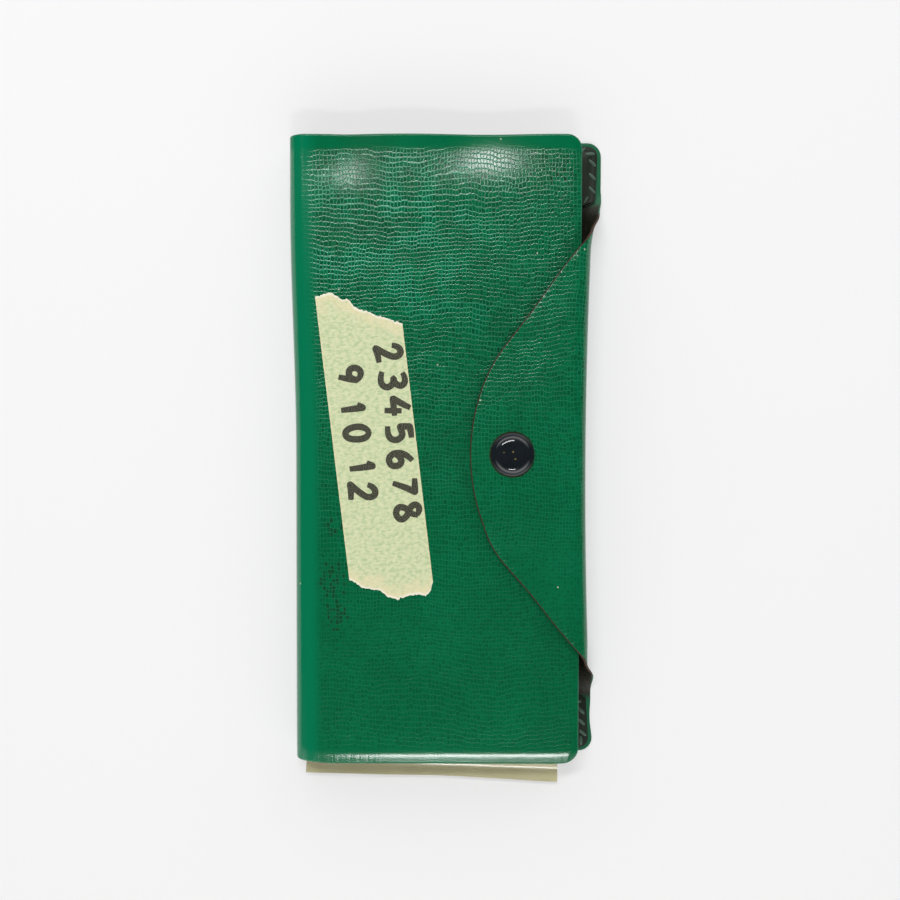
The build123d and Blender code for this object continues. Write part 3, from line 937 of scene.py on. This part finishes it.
def marker_stroke(points, corner, height, turn):
    """One marker stroke as a mesh on the front cover's face. Its glyph stands across the tape
    and is read along it."""
    line = bpy.data.curves.new("stroke", "CURVE")
    line.dimensions = "3D"
    spline = line.splines.new("NURBS")
    spline.points.add(len(points) - 1)
    for point, (right, up) in zip(spline.points, points):
        right, up = right / 100 * height - 0.3 * height, (up / 100 - 0.5) * height
        right, up = laid((0, 0), turn, right, up)
        point.co = (corner[0] + up + height / 2, corner[1] - right - 0.3 * height, 0, 1)
    spline.points[0].radius = spline.points[-1].radius = 0.78
    spline.order_u = 3
    spline.use_endpoint_u = True
    spline.resolution_u = 8
    line.bevel_depth = ink_width / 2
    line.bevel_resolution = 3
    line.use_fill_caps = True
    stroke = bpy.data.objects.new("stroke", line)
    bpy.context.collection.objects.link(stroke)
    take(stroke)
    bpy.ops.object.convert(target="MESH")
    stroke = bpy.context.object
    for vertex in stroke.data.vertices:
        across, along, out = vertex.co
        height_on_tape = tape_thickness + 0.04 + 0.03 * out / (ink_width / 2)
        vertex.co = on_front(across, along, height_on_tape) * mm
    return stroke


marker_strokes = []
for text, left, top, advance, gap in marker_rows:
    along = top
    for letter in text:
        if letter == " ":
            along -= gap
            continue
        size = number_height * marker_seed.uniform(0.92, 1.08)
        turn = radians(marker_seed.uniform(-7, 7))
        corner = (left + marker_seed.uniform(-0.4, 0.4), along)
        for points in glyph_strokes[letter]:
            marker_strokes.append(marker_stroke(points, corner, size, turn))
        along -= advance
take(*marker_strokes)
bpy.ops.object.join()
numbers = bpy.context.object
finish_piece(numbers, "marker_numbers", marker_ink())
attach(numbers, "front")

# Snap fastener. The flap's cap is a domed metal disc in glossy black enamel, with a rounded rim
# and a flat step. The socket, its ring spring, the post, the stud and its rivet are bare metal.
cap_z = 14.9
cap_profile = [
    (6.50, 0.0), (6.72, 0.12), (6.80, 0.32), (6.72, 0.52), (6.40, 0.72), (6.00, 0.92),
    (5.70, 1.04), (5.52, 1.22), (5.28, 1.40), (4.98, 1.57), (4.60, 1.73), (4.10, 1.88),
    (3.40, 2.02), (2.5, 2.13), (1.5, 2.2), (0.6, 2.23),
]


def turned(profile, sides):
    """A closed turned body on the Z axis, drawn up ring by ring from (radius, height) pairs."""
    radius, height = profile[0]
    bpy.ops.mesh.primitive_circle_add(
        vertices=sides, radius=radius * mm, fill_type="NGON", location=(0, 0, height * mm)
    )
    body = bpy.context.object
    edit(body, "FACE")
    pick_all()
    for new_radius, new_height in profile[1:]:
        extrude(0, new_height - height)
        bpy.ops.transform.resize(value=(new_radius / radius, new_radius / radius, 1))
        radius, height = new_radius, new_height
    pick_all()
    bpy.ops.mesh.normals_make_consistent(inside=False)
    leave_edit()
    bpy.ops.object.transform_apply()
    return body


def black_enamel():
    """Glossy blue-black enamel with fine rubbed scratches, and small warm brass spots on the dome
    that are painted glints.
    """
    enamel = Finish("black_enamel")
    worn = scuffed(enamel)
    colour = enamel.mix(worn["Mottle"], (0.004, 0.006, 0.008), (0.012, 0.016, 0.020))
    rubbed = enamel.times(worn["Scratches"], 0.16)
    enamel.give("Roughness", enamel.maths("ADD", rubbed, 0.07))
    enamel.give("Specular IOR Level", 0.4)
    # Painted glints: four small warm brass spots on the dome stand in for reflections of lamps.
    painted_glints = 0.0
    for across, along, radius in [(0.1, 0.9, 0.42), (0.8, -1.3, 0.36), (-2.8, 0.7, 0.3),
                                  (-2.6, -4.1, 0.34)]:
        spot = (snap_x + across, snap_y + along, cap_z + 2.0)
        away = enamel.vector("DISTANCE", enamel.object_place(), spot)
        one_painted_glint = enamel.ranged(away, 0.5 * radius, radius, 1.0, 0.0)
        painted_glints = enamel.maths("MAXIMUM", painted_glints, one_painted_glint)
    enamel.give("Base Color", enamel.mix(painted_glints, colour, (0.80, 0.62, 0.22)))
    enamel.give("Metallic", painted_glints)
    return enamel.material


def bare_metal(name, dark, light, rough):
    """Plated or drawn metal with fine scratches and slightly tarnished patches."""
    metal = Finish(name)
    worn = scuffed(metal)
    metal.give("Base Color", metal.mix(worn["Mottle"], dark, light))
    metal.give("Metallic", 1.0)
    scratched = metal.times(worn["Scratches"], 0.15)
    metal.give("Roughness", metal.maths("ADD", scratched, rough))
    metal.bump(worn["Scratches"], 0.01, 0.4)
    return metal.material


cap = turned([(0.6, 0.25), (6.3, 0.0)] + cap_profile, 72)
for vertex in cap.data.vertices:
    vertex.co += Vector((snap_x, snap_y, cap_z)) * mm
finish_piece(cap, "snap_cap_enamel", black_enamel(), 35)
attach(cap, "flap")
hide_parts("snap_cap")

plated = bare_metal("plated_snap", (0.50, 0.47, 0.42), (0.66, 0.63, 0.58), 0.22)
spring_wire = bare_metal("spring_wire", (0.42, 0.42, 0.42), (0.56, 0.56, 0.55), 0.28)
for name in ("snap_post", "snap_socket", "snap_stud", "stud_rivet", "snap_spring"):
    for material_slot in bpy.data.objects[name].material_slots:
        material_slot.material = spring_wire if name == "snap_spring" else plated

# Sleeve. Two films of clear vinyl, yellowed with age, are welded together along lines into seven
# channels. They are open at the upper end, closed at the lower end, and that end sticks out.
sleeve_middle = (-1.05, -11.158)
sleeve_turn = radians(-2)
sleeve_width = 80.953
sleeve_length = 189.0
film = 0.3
film_side_weld = 2.4
channel_pitch = (sleeve_width - 2 * film_side_weld) / 7
channel_half = 4.94
back_film_z = 2.75
front_film_z = 3.05
hook_sizes = [2.5, 3.0, 3.5, 4.0, 5.0, 5.5]
channel_sizes = hook_sizes + [5.0]


def in_sleeve(across, along, z):
    """Place in the case of a point in the sleeve's own frame."""
    return Vector((*laid(sleeve_middle, sleeve_turn, across, along), z))


def channel_middle(number):
    return film_side_weld - sleeve_width / 2 + channel_pitch * (number + 0.5)


def film_droop(across, along):
    """The lower end hangs from the covers' edge, a little unevenly."""
    wave = 0.35 * noise.noise(Vector((across / 15, 1.7, 0.0)))
    return -(1.1 + wave) * smooth(-along, 88.6, 93.0)


def film_stretch(across):
    """How far the lower end has crept out beyond square."""
    return 1.9 + 0.4 * cos((across + 40) / 22) + 0.9 * smooth(across, 0, 40)


def channel_rise(across, along):
    """How far the front film stands off the back film."""
    number = min(6, max(0, int((across + sleeve_width / 2 - film_side_weld) / channel_pitch)))
    inside = abs(across - channel_middle(number)) / channel_half
    rise = (channel_sizes[number] + 0.6) * (1 - smooth((inside - 0.55) / 0.45, 0, 1))
    return rise * smooth(along, -90.5, -84.0)


def yellowed_vinyl():
    """Clear vinyl film gone khaki, cloudier in patches, with fine scratches."""
    clear = Finish("yellowed_clear_vinyl")
    worn = scuffed(clear)
    clear.give("Base Color", clear.mix(worn["Mottle"], (0.74, 0.70, 0.42), (0.84, 0.80, 0.54)))
    cloudy = clear.times(worn["Mottle"], 0.16)
    scratched = clear.times(worn["Scratches"], 0.06)
    clear.give("Roughness", clear.maths("ADD", cloudy, scratched, 0.1))
    clear.give("Transmission Weight", 0.4)
    clear.give("IOR", 1.5)
    clear.bump(worn["Scratches"], 0.01, 0.3)
    return clear.material


film_material = yellowed_vinyl()


def sleeve_film(name, shape, node):
    """A film drawn from a grid, given its height by a rule, and then its thickness."""
    bpy.ops.mesh.primitive_grid_add(x_subdivisions=132, y_subdivisions=64, size=2)
    sheet_of_film = bpy.context.object
    for vertex in sheet_of_film.data.vertices:
        across = vertex.co.x * sleeve_width / 2
        share = (vertex.co.y + 1) / 2
        along = -sleeve_length / 2 + sleeve_length * share * share * (1.6 - 0.6 * share)
        lower_end = 1 - smooth(along, -94.5, -80)
        along -= film_stretch(across) * lower_end
        across *= 1 + 0.024 * lower_end
        vertex.co = in_sleeve(across, along, shape(across, along)) * mm
    thicken(sheet_of_film, film, 0.0)
    finish_piece(sheet_of_film, name, film_material, 50)
    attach(sheet_of_film, "sleeve")
    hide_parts(node)


sleeve_film("sleeve_film_back", lambda x, y: back_film_z + film_droop(x, y), "sleeve_back_film")
sleeve_film(
    "sleeve_film_front",
    lambda x, y: front_film_z + 0.01 + channel_rise(x, y) + film_droop(x, y),
    "sleeve_front_film",
)

# Crochet hooks. Six turned aluminium hooks lie in the first six channels. Each has a rounded foot,
# a thumb rest pressed flat from both sides, a narrow throat and a head with a mouth cut into it.
hook_length = 150.0
hook_foot = -86.0  # along the sleeve
head_share = 2.2  # a head's length for each millimetre of the hook's size
channel_floor_z = 3.2
thumb_middle, thumb_half = 112.0, 6.0
hook_material = bare_metal("satin_aluminium", (0.62, 0.62, 0.63), (0.78, 0.78, 0.79), 0.26)


def hook_profile(size):
    """Radii and heights from the foot to the tip of the head. The rings stand close together
    along the thumb rest."""
    radius, head = size / 2, head_share * size
    neck = hook_length - head
    profile = [(0.3, 0.0), (0.62, 0.1), (0.86, 0.36), (0.97, 0.7), (1.0, 1.1)]
    profile = [(share * radius, height * radius) for share, height in profile]
    rings = [50, 103, 104.5, 106, 107, 108, 110, 114, 116, 117, 118, 119.5, 121, neck - 3.2 * size]
    profile += [(radius, height) for height in rings]
    taper = [(0.97, 2.5), (0.86, 1.5), (0.74, 0.7), (0.70, 0.2)]
    profile += [(share * radius, neck - back * size) for share, back in taper]
    tip = [(0.72, 0.05), (0.84, 0.22), (0.93, 0.38), (0.95, 0.50), (0.90, 0.64), (0.78, 0.77),
           (0.60, 0.88), (0.38, 0.96), (0.15, 1.0)]
    profile += [(share * radius, neck + part * head) for share, part in tip]
    return profile


def make_hook(number, size):
    """Turns a hook, presses its thumb rest, cuts its mouth and lays it in its channel."""
    radius, head = size / 2, head_share * size
    body = turned(hook_profile(size), 28)
    for vertex in body.data.vertices:
        x, y, z = vertex.co / mm
        pressed = 1 - smooth(abs(z - thumb_middle), thumb_half - 1.5, thumb_half + 0.5)
        flat = radius * (1 - 0.4 * pressed)
        vertex.co = Vector((x * (1 + 0.07 * pressed), max(-flat, min(flat, y)), z)) * mm
    mouth_z = hook_length - 0.66 * head
    mouth_turn = radians(-35)
    bpy.ops.mesh.primitive_cube_add(size=1)
    cutter = bpy.context.object
    edit(cutter)
    pick_all()
    bpy.ops.transform.resize(value=(2 * size * mm, 1.2 * size * mm, 0.42 * size * mm))
    pick(cutter, "edges", lambda middle: middle.y < 0 and abs(middle.x) < 0.01)
    bpy.ops.mesh.bevel(offset=0.16 * size * mm, segments=4, affect="EDGES")
    leave_edit()
    reach = 0.6 * size - 0.10 * radius
    for vertex in cutter.data.vertices:
        x, y, z = vertex.co / mm
        vertex.co = Vector((x, *laid((0, mouth_z), mouth_turn, y + reach, z))) * mm
    cut = body.modifiers.new("mouth", "BOOLEAN")
    cut.object = cutter
    cut.operation = "DIFFERENCE"
    cut.solver = "EXACT"
    take(body)
    bpy.ops.object.modifier_apply(modifier="mouth")
    bpy.data.objects.remove(cutter)
    axis_z = channel_floor_z + radius
    for vertex in body.data.vertices:
        x, y, z = vertex.co / mm
        vertex.co = in_sleeve(channel_middle(number) + x, hook_foot + z, axis_z - y) * mm
    finish_piece(body, f"crochet_hook_{number + 1}", hook_material, 35)
    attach(body, f"hook_{number + 1}")
    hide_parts(f"hook_{number + 1}")


for number, size in enumerate(hook_sizes):
    make_hook(number, size)
